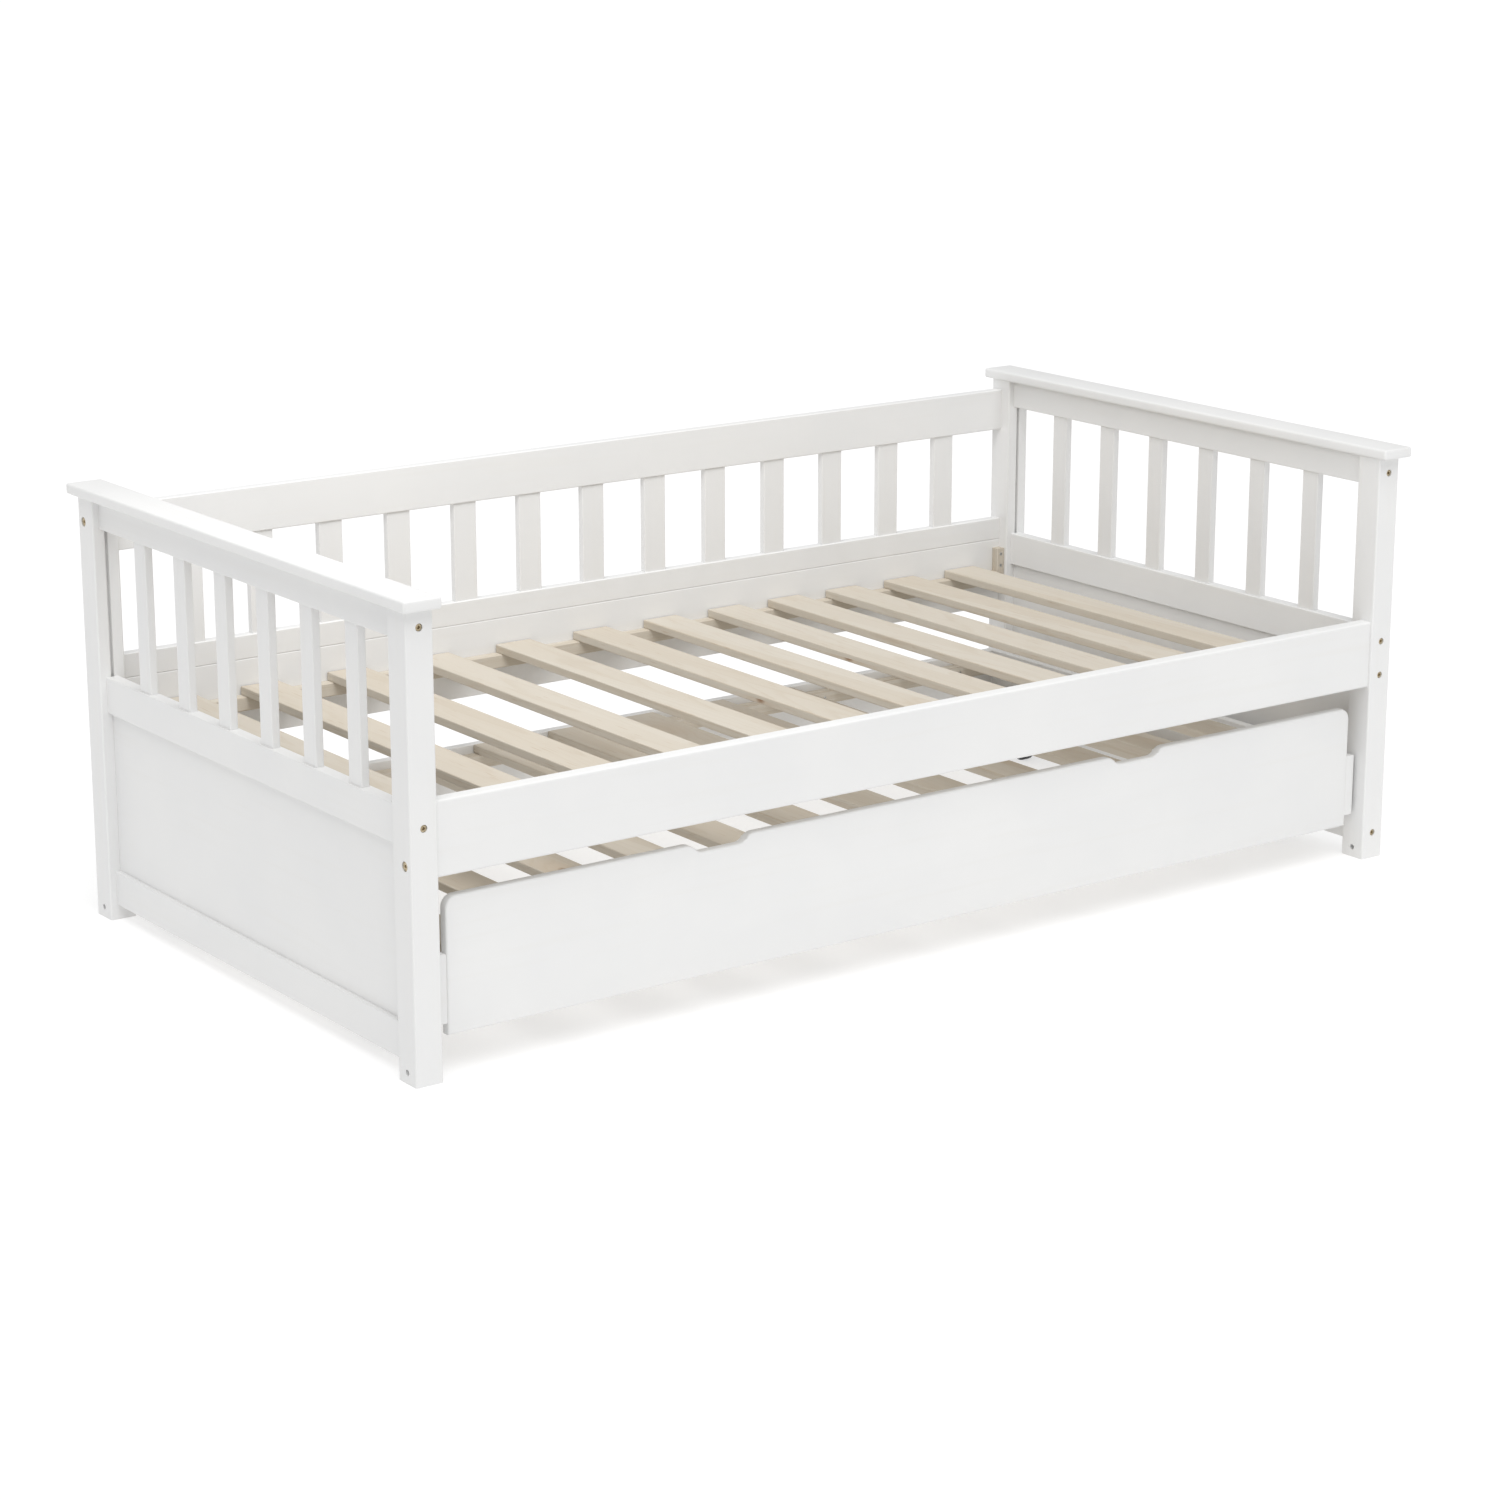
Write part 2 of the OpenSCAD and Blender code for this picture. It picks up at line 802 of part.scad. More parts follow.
module trundle_ledger(y) {
    color("burlywood") difference() {
        translate([0, y, trundle_ledger_z + trundle_ledger_h / 2])
            bar_x(2 * board_inner, ledger_w, trundle_ledger_h, bar_r);
        trundle_ledger_screw_set(fit_gap);
    }
}

module trundle_slats() {
    length = back_board_y - front_back_y - slat_end_gap;
    step = (2 * (board_inner - trundle_first_gap) - slat_w) / (trundle_slat_count - 1);
    color("burlywood") for (i = [0:trundle_slat_count - 1])
        translate([
            (i - (trundle_slat_count - 1) / 2) * step,
            (front_back_y + back_board_y) / 2,
            board_top - slat_t / 2
        ]) bar_y(length, slat_w, slat_t, bar_r);
}

// Strip along the inside of a side board that carries the casters
module runner(side) {
    color("burlywood") on_side(side) difference() {
        block(
            [-runner_cx - runner_w / 2, front_back_y, board_lift],
            [-runner_cx + runner_w / 2, back_board_y, board_lift + runner_t]
        );
        runner_screw_set(fit_gap);
        caster_screw_set(fit_gap);
    }
}

// Side plate of a fork: a tapering outline that ends in a round about the axle
module fork_cheek() {
    foot_r = axle_d / 2 + fork_foot;
    top = fork_top - wheel_z;
    rotate([90, 0, 90]) translate([0, 0, -steel_t / 2]) linear_extrude(steel_t) {
        circle(foot_r);
        polygon([[-foot_r, 0], [foot_r, 0], [fork_len, top], [-fork_len, top]]);
    }
}

module caster_forks() {
    color("dimgray") on_both_sides() for (cy = caster_y) translate([-runner_cx, cy, 0]) difference() {
        union() {
            translate([0, 0, fork_top - steel_t / 2]) cube([plate_x, plate_y, steel_t], center = true);
            for (x = [-1, 1]) translate([x * (fork_w + steel_t) / 2, 0, wheel_z]) fork_cheek();
        }
        translate([-plate_x / 2, 0, wheel_z]) rod_x(axle_d, plate_x);
        translate([runner_cx, -cy, 0]) caster_screw_set(fit_gap);
    }
}

module caster_axles() {
    length = fork_w + 2 * steel_t;
    color("silver") on_both_sides() for (cy = caster_y) translate([-runner_cx, cy, wheel_z]) {
        translate([-length / 2, 0, 0]) rod_x(axle_d, length);
        for (x = [-length / 2 - axle_head, length / 2]) translate([x, 0, 0]) rod_x(axle_head_d, axle_head);
    }
}

// Rounded tyre, dished web and a hub that stands a little proud
module wheel(side, end) {
    r = wheel_d / 2;
    hub_r = wheel_hub_d / 2;
    dish_w = r - tyre_t - hub_r;
    color("dimgray") on_side(side) translate([-runner_cx, caster_y[end], wheel_z]) rotate([0, 90, 0])
        rotate_extrude() difference() {
            union() {
                translate([r / 2, 0]) round_rect(r, wheel_w, tread_r);
                square([r - tread_r, wheel_w], center = true);
                square([wheel_hub_d, wheel_w + 2 * wheel_hub_proud], center = true);
            }
            for (y = [-1, 1]) translate([hub_r + dish_w / 2, y * wheel_w / 2])
                square([dish_w, 2 * dish_d], center = true);
            translate([-r, -wheel_w]) square([r + axle_d / 2 + running_gap, 2 * wheel_w]);
        }
}

module trundle_board_screws() {
    color("silver") on_both_sides() board_screw_set(0);
}

module trundle_ledger_screws() {
    color("silver") trundle_ledger_screw_set(0);
}

module runner_screws() {
    color("silver") on_both_sides() runner_screw_set(0);
}

module caster_screws() {
    color("silver") on_both_sides() caster_screw_set(0);
}

// ---- assembly ------------------------------------------------------------

front_left_post();
front_right_post();
back_left_post();
back_right_post();
cap(-1);  // left_cap
cap(1);  // right_cap
top_rail(-1);  // left_top_rail
top_rail(1);  // right_top_rail
mid_rail(-1);  // left_mid_rail
mid_rail(1);  // right_mid_rail
bottom_rail(-1);  // left_bottom_rail
bottom_rail(1);  // right_bottom_rail
end_panel(-1);  // left_end_panel
end_panel(1);  // right_end_panel
end_slats(-1);  // left_end_slats
end_slats(1);  // right_end_slats
back_top_rail();
back_lower_rail();
back_slats();
back_bed_rail();
front_bed_rail();
ledger(front_rail_back + ledger_w / 2);  // front_ledger
ledger(back_plane - ledger_w / 2);  // back_ledger
bed_slats();
corner_blocks();
end_bolts();
rail_bolts();
barrel_nuts();
dowels();
ledger_screws();
block_screws();
trundle_front();
trundle_side_board(-1);  // trundle_left_board
trundle_side_board(1);  // trundle_right_board
trundle_back_board();
trundle_ledger(front_back_y + ledger_w / 2);  // trundle_front_ledger
trundle_ledger(back_board_y - ledger_w / 2);  // trundle_back_ledger
trundle_slats();
runner(-1);  // left_runner
runner(1);  // right_runner
caster_forks();
caster_axles();
trundle_board_screws();
trundle_ledger_screws();
runner_screws();
caster_screws();
wheel(-1, 0);  // front_left_wheel
wheel(1, 0);  // front_right_wheel
wheel(-1, 1);  // back_left_wheel
wheel(1, 1);  // back_right_wheel
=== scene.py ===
"""A white wooden daybed with a pull-out trundle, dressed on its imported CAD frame.

Metres, +Z up, the front of the bed towards -Y, the floor at z = 0.
"""

import json
import math

import bmesh
import bpy
from mathutils import Matrix, Vector


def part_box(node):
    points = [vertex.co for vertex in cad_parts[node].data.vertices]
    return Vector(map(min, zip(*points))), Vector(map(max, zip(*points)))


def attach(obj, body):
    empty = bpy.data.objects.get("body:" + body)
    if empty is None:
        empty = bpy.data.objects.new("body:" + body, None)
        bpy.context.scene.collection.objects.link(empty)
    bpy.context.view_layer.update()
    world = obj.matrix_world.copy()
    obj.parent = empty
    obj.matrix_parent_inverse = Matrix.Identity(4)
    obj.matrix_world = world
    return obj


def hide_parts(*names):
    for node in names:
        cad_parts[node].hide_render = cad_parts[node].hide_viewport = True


MM = 0.001
X, Y, Z = 0, 1, 2
SMOOTH_ANGLE = math.radians(32)
WELD_DISTANCE = 0.01 * MM

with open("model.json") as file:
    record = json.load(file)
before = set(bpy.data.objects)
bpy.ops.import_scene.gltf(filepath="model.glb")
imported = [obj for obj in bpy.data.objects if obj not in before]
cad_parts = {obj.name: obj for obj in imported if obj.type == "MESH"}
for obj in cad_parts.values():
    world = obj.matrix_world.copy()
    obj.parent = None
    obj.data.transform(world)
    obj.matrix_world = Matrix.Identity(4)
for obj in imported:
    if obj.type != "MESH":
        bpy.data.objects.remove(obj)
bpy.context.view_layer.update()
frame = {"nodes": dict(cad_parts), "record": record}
NODES = frame["nodes"]
BODIES = frame["record"]["behaviour"]["bodies"]
BODY_OF = {node: body for body, nodes in BODIES.items() for node in nodes}
SIDES = ("left", "right")
ENDS = ("front", "back")


# ---- shader building -----------------------------------------------------


class Shader:
    """A material with one Principled shader, and short names for the nodes that feed it."""

    def __init__(self, name, **constants):
        self.material = bpy.data.materials.new(name)
        self.material.use_nodes = True
        self.nodes = self.material.node_tree.nodes
        self.links = self.material.node_tree.links
        self.surface = self.nodes["Principled BSDF"]
        for socket, value in constants.items():
            self.surface.inputs[socket.replace("_", " ")].default_value = value

    def put(self, socket, value):
        """Links another node's output into a socket, or sets the socket to a plain value."""
        if isinstance(value, bpy.types.NodeSocket):
            self.links.new(value, socket)
        else:
            socket.default_value = value

    def node(self, kind, settings=(), **inputs):
        made = self.nodes.new("ShaderNode" + kind)
        for name, value in dict(settings).items():
            setattr(made, name, value)
        for name, value in inputs.items():
            self.put(made.inputs[name.replace("_", " ")], value)
        return made

    def feed(self, **inputs):
        """Links values into the Principled shader."""
        for name, value in inputs.items():
            self.put(self.surface.inputs[name.replace("_", " ")], value)

    def places(self):
        return self.node("TexCoord").outputs["Object"]

    def piece_number(self):
        """A random number from 0 to 1 for each separate solid in a mesh."""
        return self.node("NewGeometry").outputs["Random Per Island"]

    def vector(self, operation, a, b):
        """Vector arithmetic; the second value is a plain number where the operation is SCALE."""
        made = self.node("VectorMath", {"operation": operation})
        second = made.inputs["Scale"] if operation == "SCALE" else made.inputs[1]
        self.put(made.inputs[0], a)
        self.put(second, b)
        return made.outputs["Value" if operation == "DOT_PRODUCT" else "Vector"]

    def math(self, operation, a, b=0.0):
        made = self.node("Math", {"operation": operation})
        self.put(made.inputs[0], a)
        self.put(made.inputs[1], b)
        return made.outputs["Value"]

    def noise(self, places, scale, detail=2.0, roughness=0.5):
        made = self.node("TexNoise", Vector=places, Scale=scale, Detail=detail, Roughness=roughness)
        return made.outputs["Fac"]

    def ramp(self, value, *stops):
        """Turns a value into a grey through (position, grey) stops."""
        made = self.node("ValToRGB", Fac=value)
        elements = made.color_ramp.elements
        while len(elements) < len(stops):
            elements.new(1.0)
        for element, (position, grey) in zip(elements, stops):
            element.position = position
            element.color = (grey, grey, grey, 1)
        return made.outputs["Color"]

    def spread(self, value, low, high, to_low=0.0, to_high=1.0):
        """Maps low..high to another range and holds it there."""
        made = self.node(
            "MapRange", Value=value, From_Min=low, From_Max=high, To_Min=to_low, To_Max=to_high
        )
        return made.outputs["Result"]

    def mix(self, share, a, b, blend="MIX"):
        made = self.node("Mix", {"data_type": "RGBA", "blend_type": blend})
        self.put(made.inputs["Factor"], share)
        # The node has an A, a B and a result for each kind of data; these are the colour ones
        colour_a, colour_b, colour_out = made.inputs[6], made.inputs[7], made.outputs[2]
        for socket, colour in ((colour_a, a), (colour_b, b)):
            self.put(socket, (*colour, 1) if isinstance(colour, tuple) else colour)
        return colour_out

    def along(self, places, axis, squeeze):
        """Places with one axis squeezed, so that a pattern runs long in that direction."""
        scale = [1.0, 1.0, 1.0]
        scale[axis] = squeeze
        return self.vector("MULTIPLY", places, scale)

    def edges(self, radius):
        """0 on flat faces, rising towards 1 on corners sharper than a radius."""
        rounded = self.node("Bevel", {"samples": 4}, Radius=radius).outputs["Normal"]
        flat = self.node("NewGeometry").outputs["Normal"]
        return self.spread(self.vector("DOT_PRODUCT", rounded, flat), 1.0, 0.8)

    def bump(self, *layers):
        """Stacks (height, distance) layers into one normal."""
        normal = None
        for height, distance in layers:
            made = self.node("Bump", Height=height, Distance=distance, Strength=1.0)
            if normal is not None:
                self.put(made.inputs["Normal"], normal)
            normal = made.outputs["Normal"]
        self.feed(Normal=normal)


# ---- materials -----------------------------------------------------------


def white_paint(grain):
    """Satin white paint: the wood's grain shows faintly through it, and it wears thin on edges."""
    s = Shader("white_paint_" + "xyz"[grain], IOR=1.46)
    places = s.places()
    fibres = s.noise(s.along(places, grain, 0.03), 420, detail=4, roughness=0.6)
    bands = s.noise(s.along(places, grain, 0.05), 60, detail=3)
    orange_peel = s.noise(places, 700, detail=1)
    clouds = s.noise(places, 5, detail=3)
    colour = s.mix(s.spread(clouds, 0.35, 0.65), (0.785, 0.786, 0.783), (0.808, 0.807, 0.800))
    colour = s.mix(s.spread(bands, 0.55, 0.72, 0, 0.25), colour, (0.775, 0.765, 0.740))
    worn = s.math("MULTIPLY", s.edges(1.2 * MM), s.spread(clouds, 0.4, 0.6, 0.15, 0.6))
    colour = s.mix(worn, colour, (0.70, 0.655, 0.575))
    gloss = s.math("ADD", s.spread(fibres, 0.3, 0.7, 0.36, 0.46), s.spread(clouds, 0.3, 0.7, -0.03, 0.03))
    s.feed(Base_Color=colour, Roughness=gloss)
    s.bump((fibres, 0.06 * MM), (bands, 0.12 * MM), (orange_peel, 0.02 * MM))
    return s.material


def bare_wood(grain):
    """Sanded softwood: growth rings cut lengthways, fine fibres, resin flecks and a few knots."""
    s = Shader("bare_wood_" + "xyz"[grain], IOR=1.45)
    number = s.piece_number()
    own_log = s.vector("SCALE", (3.1, 5.3, 4.7), number)
    places = s.vector("ADD", s.places(), own_log)
    stretched = s.along(places, grain, 0.07)

    knots = s.node("TexVoronoi", {"voronoi_dimensions": "3D"}, Vector=s.along(places, grain, 0.6), Scale=4.2)
    knot_near = s.spread(knots.outputs["Distance"], 0.22, 0.02)
    knot_core = s.spread(knots.outputs["Distance"], 0.045, 0.02)

    ring_count = 17
    wander = s.noise(stretched, 11, detail=1.5, roughness=0.35)
    swell = s.math("ADD", wander, s.math("MULTIPLY", knot_near, 0.12))
    rings = s.math("FRACT", s.math("MULTIPLY", swell, ring_count))
    late_wood = s.ramp(rings, (0.0, 0.05), (0.62, 0.25), (0.92, 1.0), (1.0, 0.05))
    fibres = s.noise(s.along(places, grain, 0.012), 900, detail=3, roughness=0.65)
    flecks = s.spread(s.noise(s.along(places, grain, 0.05), 330, detail=1), 0.68, 0.76)

    early, late = (0.595, 0.550, 0.475), (0.525, 0.460, 0.365)
    colour = s.mix(s.math("MULTIPLY", late_wood, 0.55), early, late)
    colour = s.mix(s.spread(fibres, 0.25, 0.75, 0, 0.35), colour, (0.640, 0.600, 0.535))
    colour = s.mix(s.math("MULTIPLY", flecks, 0.35), colour, (0.40, 0.27, 0.14))
    colour = s.mix(s.math("MULTIPLY", knot_near, 0.25), colour, (0.47, 0.31, 0.16))
    colour = s.mix(knot_core, colour, (0.25, 0.13, 0.06))
    warmer = s.mix(number, (1.0, 1.0, 1.0), (0.93, 0.90, 0.86))
    colour = s.mix(1.0, colour, warmer, "MULTIPLY")
    bruised = s.math("MULTIPLY", s.edges(0.8 * MM), 0.35)
    colour = s.mix(bruised, colour, (0.42, 0.30, 0.18))

    s.feed(Base_Color=colour, Roughness=s.spread(late_wood, 0, 1, 0.72, 0.58))
    s.bump((fibres, 0.10 * MM), (late_wood, 0.05 * MM))
    return s.material


def plated_steel(name, bright, dull, roughness):
    """Plated hardware: cloudy plating, turned scratches and rubbed corners."""
    s = Shader(name, Metallic=1.0)
    places = s.places()
    clouds = s.noise(places, 260, detail=3)
    scratches = s.noise(s.along(places, Z, 0.1), 2600, detail=2)
    colour = s.mix(s.spread(clouds, 0.35, 0.65), dull, bright)
    rubbed = s.math("MULTIPLY", s.edges(0.3 * MM), 0.5)
    colour = s.mix(rubbed, colour, tuple(min(1.0, 1.35 * c) for c in bright))
    s.feed(Base_Color=colour, Roughness=s.spread(scratches, 0.3, 0.7, roughness - 0.08, roughness + 0.1))
    s.bump((scratches, 0.01 * MM))
    return s.material


def black_steel():
    """Powder coated pressed steel, rubbed to bright metal on its edges."""
    s = Shader("caster_steel", IOR=1.5)
    places = s.places()
    pebbles = s.noise(places, 1500, detail=2)
    dust = s.noise(places, 40, detail=4)
    rubbed = s.math("MULTIPLY", s.edges(0.5 * MM), s.spread(dust, 0.45, 0.6))
    colour = s.mix(s.spread(dust, 0.4, 0.8, 0, 0.3), (0.028, 0.028, 0.030), (0.12, 0.115, 0.105))
    colour = s.mix(rubbed, colour, (0.42, 0.41, 0.40))
    s.feed(Base_Color=colour, Metallic=s.math("MULTIPLY", rubbed, 0.9))
    s.feed(Roughness=s.spread(pebbles, 0.3, 0.7, 0.38, 0.55))
    s.bump((pebbles, 0.05 * MM))
    return s.material


def wheel_plastic():
    """Moulded nylon: fine texture, with dust and scuffs that gather on the tread."""
    s = Shader("wheel_plastic", IOR=1.52)
    places = s.places()
    grain = s.noise(places, 1800, detail=2)
    scuffs = s.noise(s.along(places, X, 3.0), 120, detail=5, roughness=0.7)
    dusty = s.spread(scuffs, 0.5, 0.68, 0, 0.55)
    colour = s.mix(dusty, (0.018, 0.018, 0.020), (0.105, 0.098, 0.088))
    colour = s.mix(s.math("MULTIPLY", s.edges(0.6 * MM), 0.4), colour, (0.16, 0.155, 0.15))
    s.feed(Base_Color=colour, Roughness=s.spread(scuffs, 0.35, 0.7, 0.42, 0.72))
    s.bump((grain, 0.03 * MM), (scuffs, 0.05 * MM))
    return s.material


PAINT = [white_paint(axis) for axis in (X, Y, Z)]
WOOD = [bare_wood(axis) for axis in (X, Y, Z)]
BRONZE = plated_steel("bronzed_steel", (0.60, 0.51, 0.36), (0.38, 0.31, 0.20), 0.45)
ZINC = plated_steel("zinc_steel", (0.66, 0.66, 0.64), (0.48, 0.48, 0.47), 0.34)
STEEL = black_steel()
PLASTIC = wheel_plastic()


# ---- pieces built in mesh code -------------------------------------------


def arc(centre, radius, start, end, steps=8):
    """Points along an arc about a centre, angles in degrees."""
    angles = [math.radians(start + (end - start) * i / steps) for i in range(steps + 1)]
    return [(centre[0] + radius * math.cos(a), centre[1] + radius * math.sin(a)) for a in angles]


def mirrored(points):
    return [(-x, y) for x, y in reversed(points)]


def add_piece(name, mesh, node, material):
    """Puts a mesh into the scene in place of a CAD node, on the same body."""
    for polygon in mesh.polygons:
        polygon.use_smooth = True
    mesh.set_sharp_from_angle(angle=SMOOTH_ANGLE)
    mesh.materials.append(material)
    piece = bpy.data.objects.new(name, mesh)
    bpy.context.scene.collection.objects.link(piece)
    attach(piece, BODY_OF[node])
    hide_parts(node)
    return piece


def finished(bm, name):
    """The mesh of a bmesh, with its normals outwards."""
    bmesh.ops.recalc_face_normals(bm, faces=bm.faces)
    mesh = bpy.data.meshes.new(name)
    bm.to_mesh(mesh)
    bm.free()
    return mesh


def rounded_board(name, node, outline, radius):
    """A board as thick along Y as its CAD node, cut to an outline in X and Z, with rounded rims."""
    low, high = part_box(node)
    bm = bmesh.new()
    face = bm.faces.new([bm.verts.new((x, low.y, z)) for x, z in outline])
    for part in bmesh.ops.extrude_face_region(bm, geom=[face])["geom"]:
        if isinstance(part, bmesh.types.BMVert):
            part.co.y = high.y
    rims = [edge for edge in bm.edges if abs(edge.verts[0].co.y - edge.verts[1].co.y) < MM]
    bmesh.ops.bevel(bm, geom=rims, offset=radius, segments=4, profile=0.5, affect="EDGES")
    return add_piece(name, finished(bm, name), node, PAINT[X])


def trundle_front():
    """The trundle's front board: round upper corners and two hand holds cut down from its top edge."""
    low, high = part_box("trundle_front")
    corner, rim_round = 20 * MM, 3.5 * MM
    depth, half_top, half_bottom = 14 * MM, 66 * MM, 33 * MM
    # Each side of a hand hold is two equal arcs, the upper one turned over
    run = half_top - half_bottom
    lean = 2 * math.degrees(math.atan(depth / run))
    bend = run / (2 * math.sin(math.radians(lean)))
    lower = arc((half_bottom, high.z - depth + bend), bend, -90, lean - 90)
    upper = arc((half_top, high.z - bend), bend, 90 + lean, 90)
    slope = lower[:-1] + upper
    dip = list(reversed(slope)) + list(reversed(mirrored(slope)))
    holds = {box["name"]: box["box_m"] for box in frame["record"]["physics"]["openings"]}
    right_low, right_high = holds["right_hand_hold"]
    middle = (right_low[X] + right_high[X]) / 2
    right_half = [(high.x, low.z), *arc((high.x - corner, high.z - corner), corner, 0, 90)]
    right_half += [(middle + x, z) for x, z in dip]
    outline = right_half + mirrored(right_half)
    return rounded_board("trundle_front_board", "trundle_front", outline, rim_round)


def end_cap(side):
    """The flat board over an end, rounded on every edge."""
    node = f"{side}_cap"
    edge_round = 4 * MM
    low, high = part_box(node)
    bm = bmesh.new()
    bmesh.ops.create_cube(bm, size=1.0, matrix=Matrix.LocRotScale((low + high) / 2, None, high - low))
    bmesh.ops.bevel(bm, geom=bm.edges[:], offset=edge_round, segments=5, profile=0.5, affect="EDGES")
    return add_piece(f"{side}_cap_board", finished(bm, node), node, PAINT[Y])


def solids(node):
    """The points of each separate solid in a CAD node."""
    bm = bmesh.new()
    bm.from_mesh(NODES[node].data)
    bmesh.ops.remove_doubles(bm, verts=bm.verts, dist=WELD_DISTANCE)
    left = set(bm.verts)
    found = []
    while left:
        group, to_visit = set(), [min(left, key=lambda v: v.index)]
        while to_visit:
            vert = to_visit.pop()
            if vert in group:
                continue
            group.add(vert)
            to_visit += [edge.other_vert(vert) for edge in vert.link_edges]
        left -= group
        found.append([vert.co.copy() for vert in group])
    bm.free()
    return found


def pin_place(points):
    """Where a bolt or screw lies, its length, and its head's diameter.

    The place is a matrix from a pin with its head at the origin and its shank along -Z.
    """
    low = Vector([min(p[k] for p in points) for k in (X, Y, Z)])
    high = Vector([max(p[k] for p in points) for k in (X, Y, Z)])
    size = high - low
    axis = min((X, Y, Z), key=lambda k: abs(size[(k + 1) % 3] - size[(k + 2) % 3]))
    across = (axis + 1) % 3
    middle = (low + high) / 2
    # The widest points belong to the head
    reach = size[across] / 2 - 0.1 * MM
    wide = [p[axis] for p in points if abs(p[across] - middle[across]) > reach]
    towards_high = sum(wide) / len(wide) > middle[axis]
    head = middle.copy()
    head[axis] = high[axis] if towards_high else low[axis]
    direction = Vector((0, 0, 0))
    direction[axis] = 1 if towards_high else -1
    return Matrix.LocRotScale(head, direction.to_track_quat("Z", "Y"), None), size[axis], size[across]


def add_pin(bm, place, profile, recess, depth, sides=24):
    """Adds a turned pin with a recess in its head.

    profile is (radius, height) from the rim of the recessed face to the tip, and recess is the
    recess's outline in the plane of that face.
    """
    floor_share = 0.75
    turns = [2 * math.pi * i / sides for i in range(sides)]
    rings = []
    for radius, height in profile:
        circle = [Vector((radius * math.cos(a), radius * math.sin(a), height)) for a in turns]
        rings.append([bm.verts.new(place @ point) for point in circle])
    for above, below in zip(rings, rings[1:]):
        for i in range(sides):
            bm.faces.new((above[i], above[i - 1], below[i - 1], below[i]))
    bm.faces.new(rings[-1])
    top = profile[0][1]
    mouth = [bm.verts.new(place @ Vector((x, y, top))) for x, y in recess]
    bottom = [Vector((floor_share * x, floor_share * y, top - depth)) for x, y in recess]
    floor = [bm.verts.new(place @ point) for point in bottom]
    for i in range(len(mouth)):
        bm.faces.new((mouth[i], mouth[i - 1], floor[i - 1], floor[i]))
    bm.faces.new(floor)
    rim = [bm.edges.get((rings[0][i], rings[0][i - 1])) for i in range(sides)]
    lip = [bm.edges.get((mouth[i], mouth[i - 1])) for i in range(len(mouth))]
    bmesh.ops.triangle_fill(bm, use_beauty=True, edges=rim + lip)


def cross_outline(half, arm):
    """A cross for a screwdriver: half its span, and half the width of an arm."""
    corner = [(half, -arm), (half, arm), (arm, arm)]
    turned = []
    for _ in range(4):
        turned += corner
        corner = [(-y, x) for x, y in corner]
    return turned


def hexagon(across_flats):
    return arc((0, 0), across_flats / math.sqrt(3), 0, 300, 5)


def wood_screws(node):
    """Countersunk screws with cross recesses, one for each solid of the CAD node."""
    bm = bmesh.new()
    soft, rim_h, point_r, recess_depth = 0.2 * MM, 0.25 * MM, 0.3 * MM, 1.4 * MM
    for points in solids(node):
        place, length, head_d = pin_place(points)
        head, shank = head_d / 2, head_d / 4
        profile = [
            (head - soft, 0),
            (head, -rim_h),
            (shank, -shank - rim_h),
            (shank, shank * 2 - length),
            (point_r, soft - length),
        ]
        add_pin(bm, place, profile, cross_outline(0.62 * head, 0.16 * head), recess_depth)
    name = node.replace("screws", "cross_screws")
    return add_piece(name, finished(bm, name), node, ZINC)


def bolts(node):
    """Socket head bolts with softened rims, one for each solid of the CAD node."""
    bm = bmesh.new()
    head_h, shank, soft = 4 * MM, 3 * MM, 0.7 * MM
    socket, socket_depth, tip_chamfer = 5 * MM, 3 * MM, 0.5 * MM
    for points in solids(node):
        place, length, head_d = pin_place(points)
        head = head_d / 2
        rim = [(head - soft + x, y - soft) for x, y in arc((0, 0), soft, 90, 0, 4)]
        tip = [(shank, tip_chamfer - length), (shank - tip_chamfer, -length)]
        profile = rim + [(head, -head_h), (shank, -head_h)] + tip
        add_pin(bm, place, profile, hexagon(socket), socket_depth)
    name = node.replace("bolts", "socket_bolts")
    return add_piece(name, finished(bm, name), node, BRONZE)


def wheel(node):
    """A moulded wheel: rounded tread with a parting groove, dished web with ribs, and a hub on its axle."""
    low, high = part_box(node)
    middle, outer = (low + high) / 2, (high.z - low.z) / 2
    hub_half, half = (high.x - low.x) / 2, (high.x - low.x) / 2 - 1 * MM
    bore, hub, web_half, tyre_inner = 3.05 * MM, 9 * MM, half - 3 * MM, outer - 6 * MM
    shoulder = arc((outer - 3 * MM, half - 3 * MM), 3 * MM, 90, 0, 6)
    side = [(bore, hub_half), (hub - 0.5 * MM, hub_half), (hub, hub_half - 0.5 * MM), (hub, web_half)]
    side += [(tyre_inner, web_half), (tyre_inner, half - 0.4 * MM), (tyre_inner + 0.4 * MM, half)]
    side += shoulder + [(outer, 0.5 * MM), (outer - 0.6 * MM, 0)]
    profile = side + [(radius, -x) for radius, x in reversed(side[:-1])]
    sides = 72
    bm = bmesh.new()
    rings = []
    for radius, x in profile:
        ring = []
        for i in range(sides):
            turn = 2 * math.pi * i / sides
            ring.append(bm.verts.new(middle + Vector((x, radius * math.cos(turn), radius * math.sin(turn)))))
        rings.append(ring)
    for above, below in zip(rings, rings[1:] + rings[:1]):
        for i in range(sides):
            bm.faces.new((above[i], above[i - 1], below[i - 1], below[i]))
    rib_count, rib_t, rib_sink = 10, 1.4 * MM, 0.6 * MM
    rib = Vector((2 * (half - rib_sink), rib_t, tyre_inner - hub + 1 * MM))
    across = Matrix.Translation((0, 0, (hub + tyre_inner) / 2))
    for i in range(rib_count):
        turn = Matrix.Rotation(2 * math.pi * i / rib_count, 4, "X")
        place = Matrix.Translation(middle) @ turn @ across @ Matrix.Diagonal((*rib, 1))
        bmesh.ops.create_cube(bm, size=1.0, matrix=place)
    name = node + "_moulding"
    return add_piece(name, finished(bm, name), node, PLASTIC)


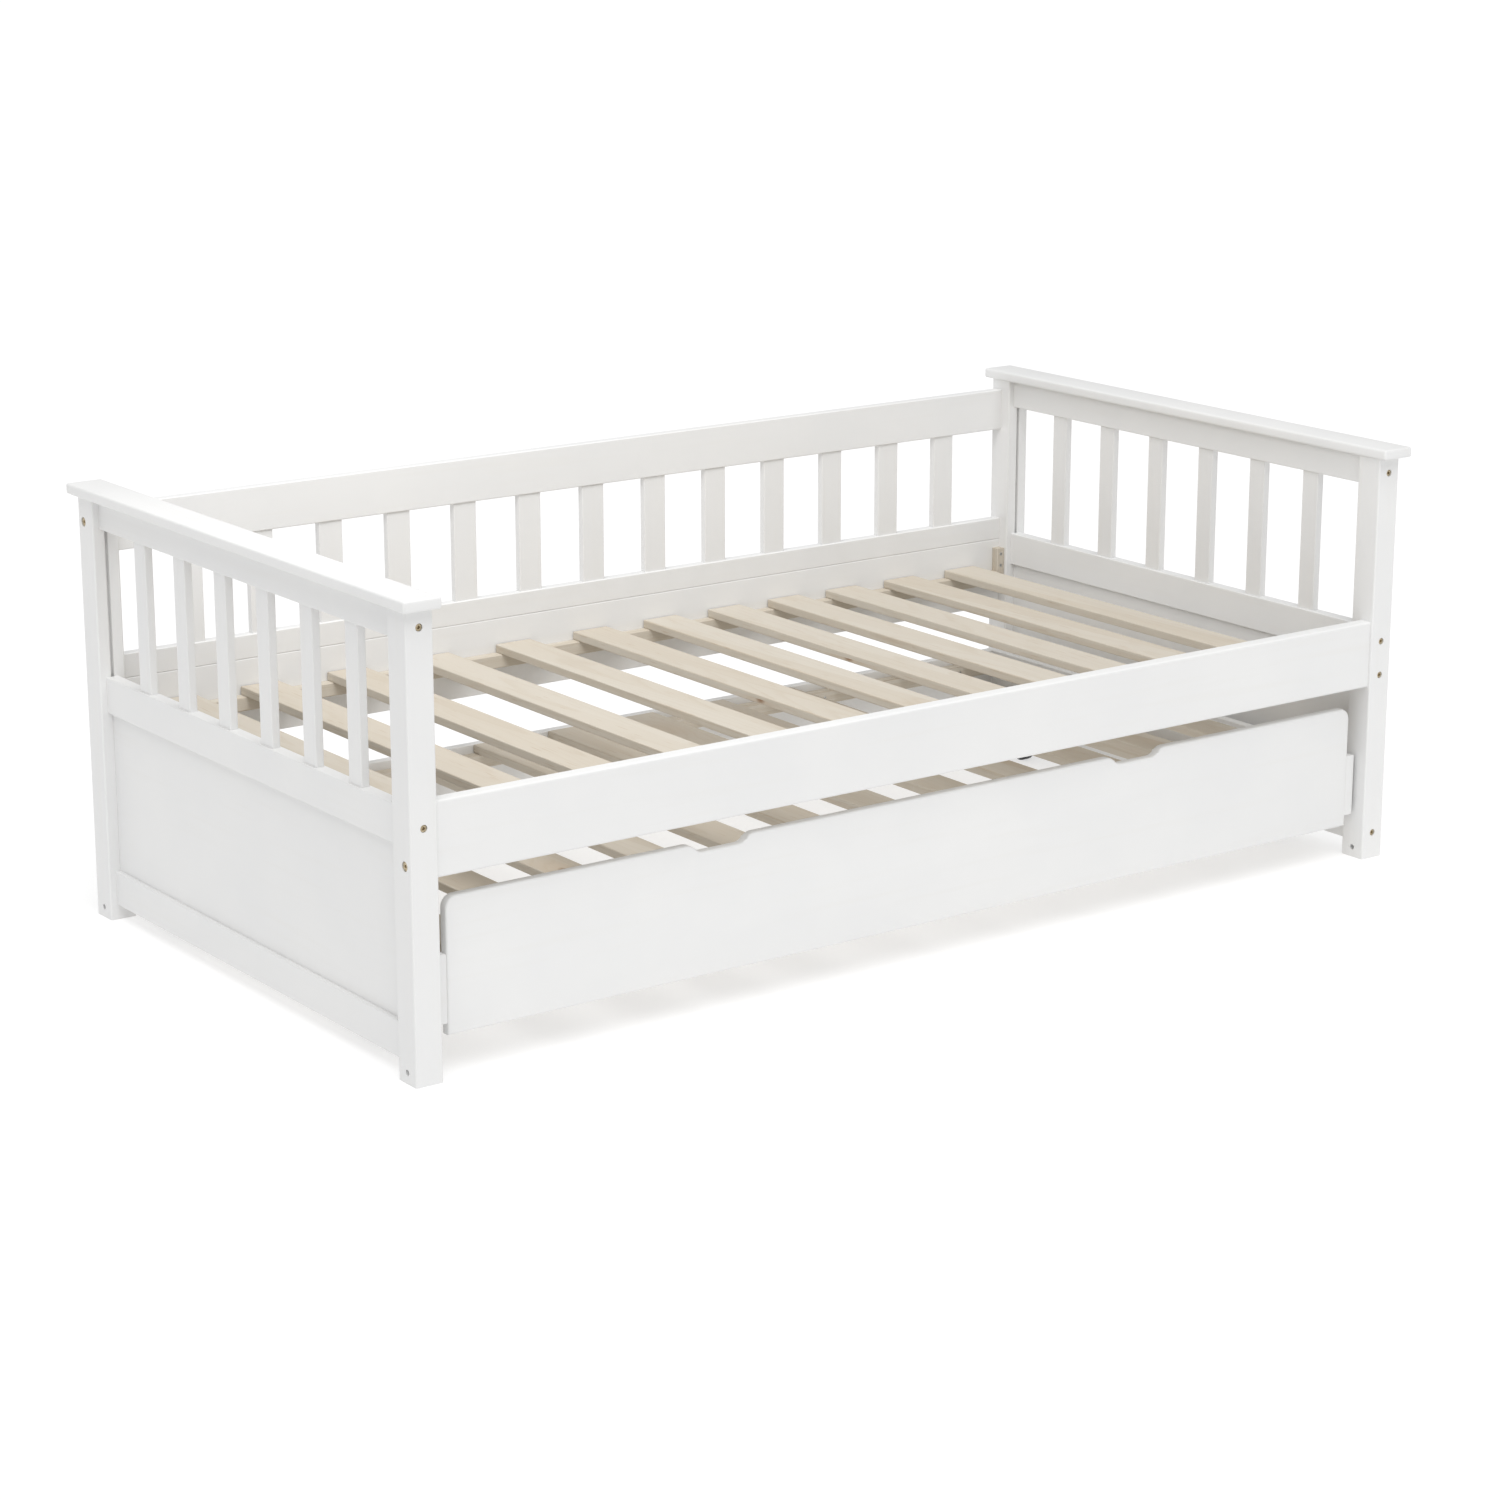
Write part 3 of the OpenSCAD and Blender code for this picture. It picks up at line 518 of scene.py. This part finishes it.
WHEELS = [f"{end}_{side}_wheel" for end in ENDS for side in SIDES]
SCREWS = [
    "ledger_screws",
    "block_screws",
    "trundle_board_screws",
    "trundle_ledger_screws",
    "runner_screws",
    "caster_screws",
]

trundle_front()
for side in SIDES:
    end_cap(side)
for node in SCREWS:
    wood_screws(node)
for node in ("end_bolts", "rail_bolts"):
    bolts(node)
for node in WHEELS:
    wheel(node)


# ---- finishes of the CAD nodes that stay ---------------------------------

FINISHES = [
    (PAINT[Z], [f"{end}_{side}_post" for end in ENDS for side in SIDES]),
    (PAINT[Y], [f"{side}_{rail}" for rail in ("top_rail", "mid_rail", "bottom_rail") for side in SIDES]),
    (PAINT[Y], ["left_end_panel", "right_end_panel", "trundle_left_board", "trundle_right_board"]),
    (PAINT[Z], ["left_end_slats", "right_end_slats", "back_slats"]),
    (PAINT[X], ["back_top_rail", "back_lower_rail", "back_bed_rail", "front_bed_rail", "trundle_back_board"]),
    (WOOD[X], ["front_ledger", "back_ledger", "trundle_front_ledger", "trundle_back_ledger", "dowels"]),
    (WOOD[Y], ["bed_slats", "trundle_slats", "left_runner", "right_runner"]),
    (WOOD[Z], ["corner_blocks"]),
    (ZINC, ["barrel_nuts", "caster_axles"]),
    (STEEL, ["caster_forks"]),
]
for material, names in FINISHES:
    for name in names:
        NODES[name].material_slots[0].material = material
        if material in WOOD:
            weld = NODES[name].modifiers.new("weld", "WELD")
            weld.merge_threshold = WELD_DISTANCE


# ---- floor, light and camera ---------------------------------------------


def add_floor():
    """A plain pale studio floor, wide enough to fill every view."""
    half = 30.0
    corners = [(-half, -half, 0), (half, -half, 0), (half, half, 0), (-half, half, 0)]
    mesh = bpy.data.meshes.new("floor")
    mesh.from_pydata(corners, [], [(0, 1, 2, 3)])
    floor = bpy.data.objects.new("floor", mesh)
    bpy.context.scene.collection.objects.link(floor)
    s = Shader("pale_floor", Roughness=0.9, Specular_IOR_Level=0.0, Emission_Strength=0.6)
    s.surface.inputs["Emission Color"].default_value = (1, 1, 1, 1)
    s.feed(Base_Color=s.mix(s.noise(s.places(), 2.0), (0.44, 0.44, 0.44), (0.46, 0.46, 0.46)))
    mesh.materials.append(s.material)


def add_lamp(name, kind, energy, towards):
    """A lamp that stands off in a direction from what it lights."""
    lamp = bpy.data.objects.new(name, bpy.data.lights.new(name, kind))
    lamp.data.energy = energy
    lamp.rotation_mode = "QUATERNION"
    lamp.rotation_quaternion = towards.to_track_quat("Z", "Y")
    bpy.context.scene.collection.objects.link(lamp)
    return lamp


def add_room():
    """A white room that lights less than it shows."""
    world = bpy.data.worlds.new("room")
    bpy.context.scene.world = world
    world.use_nodes = True
    tree = world.node_tree
    shown, light = 1.0, 0.55
    seen = tree.nodes.new("ShaderNodeLightPath").outputs["Is Camera Ray"]
    strength = tree.nodes.new("ShaderNodeMapRange")
    tree.links.new(seen, strength.inputs["Value"])
    strength.inputs["To Min"].default_value = light
    strength.inputs["To Max"].default_value = shown
    background = tree.nodes["Background"]
    background.inputs["Color"].default_value = (1, 1, 1, 1)
    tree.links.new(strength.outputs["Result"], background.inputs["Strength"])


def add_lights():
    """A broad lamp high over the front left, and a soft panel over the bed that lights its inside."""
    lamp = add_lamp("lamp", "SUN", 1.7, Vector((-0.18, -0.43, 0.88)))
    lamp.data.angle = math.radians(50)
    over_bed, back_corner = Vector((-0.75, -0.25, 1.75)), Vector((0.55, 0.45, 0.4))
    panel = add_lamp("panel", "AREA", 8, over_bed - back_corner)
    panel.data.size = 0.8
    panel.location = over_bed


def add_camera():
    """Looks from the front left and a little above, on the middle of the bed."""
    azimuth, elevation = math.radians(-36.1), math.radians(15.35)
    distance = 6.312
    aim = Vector((-0.012, 0.0, 0.244))
    flat = math.cos(elevation)
    back = Vector((math.sin(azimuth) * flat, -math.cos(azimuth) * flat, math.sin(elevation)))
    camera = bpy.data.objects.new("camera", bpy.data.cameras.new("camera"))
    camera.data.lens = 87.6
    camera.location = aim + back * distance
    camera.rotation_mode = "QUATERNION"
    camera.rotation_quaternion = back.to_track_quat("Z", "Y")
    bpy.context.scene.collection.objects.link(camera)
    bpy.context.scene.camera = camera


add_floor()
add_room()
add_lights()
add_camera()
bpy.context.scene.view_settings.view_transform = "Standard"
